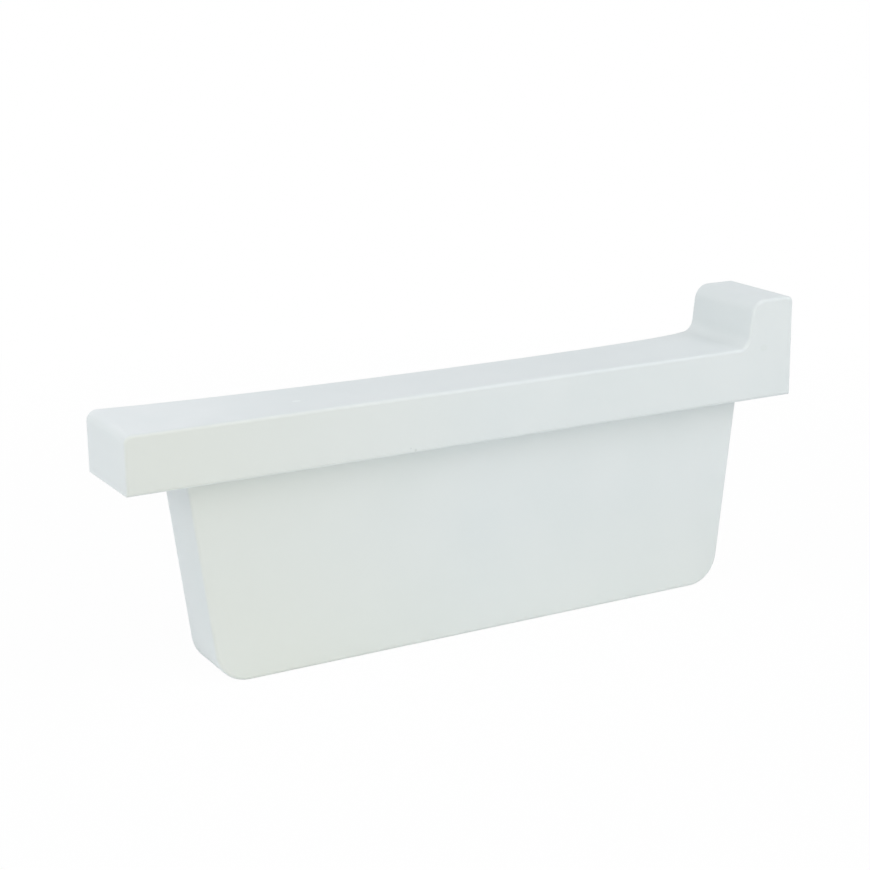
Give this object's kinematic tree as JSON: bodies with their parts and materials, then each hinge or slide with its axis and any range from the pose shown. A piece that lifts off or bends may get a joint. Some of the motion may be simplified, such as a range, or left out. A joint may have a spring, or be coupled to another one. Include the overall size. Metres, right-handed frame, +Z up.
{
  "type": "gutter end cap",
  "caption": "One-piece moulded end cap for a box gutter: a trough-shaped cup under a long rail with an upstand at one end, open at the back.",
  "frame": {"origin": "under the middle of the rail's length and depth, in the plane of the trough's underside", "axes": "+X along the rail towards the upstand, +Y from the front plates into the gutter, +Z up"},
  "size_m": [0.24, 0.032, 0.1009],
  "materials": {
    "white_pvc": "satin white, straight from the mould"
  },
  "bodies": {
    "root": {"end_cap": "white_pvc"}
  },
  "joints": []
}
